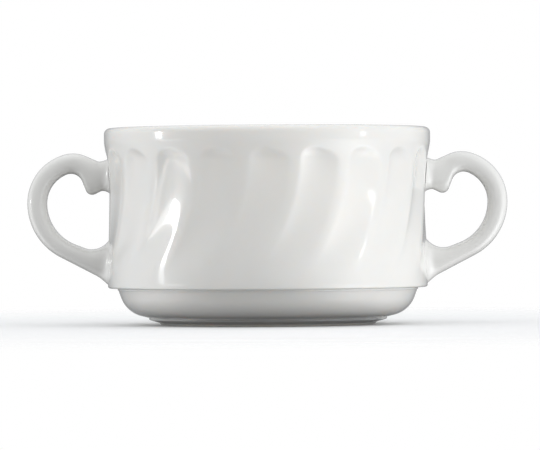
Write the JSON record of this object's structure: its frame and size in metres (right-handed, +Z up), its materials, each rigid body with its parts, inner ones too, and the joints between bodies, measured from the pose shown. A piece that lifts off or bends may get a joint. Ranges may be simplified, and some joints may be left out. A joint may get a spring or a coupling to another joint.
{
  "type": "bouillon cup",
  "caption": "Stackable bouillon cup with an ear handle on each side, a plain rim band over arched flutes that swirl towards the base, a stacking ledge and a foot ring.",
  "frame": {"origin": "on the cup's axis, in the plane that the foot ring stands on", "axes": "+Z up along the cup's axis, +X out through one handle and -X through the other, -Y towards the viewer of the picture"},
  "size_m": [0.1502, 0.102, 0.0615],
  "materials": {
    "glaze": "gloss"
  },
  "bodies": {
    "root": {"cup": "glaze"}
  },
  "joints": []
}
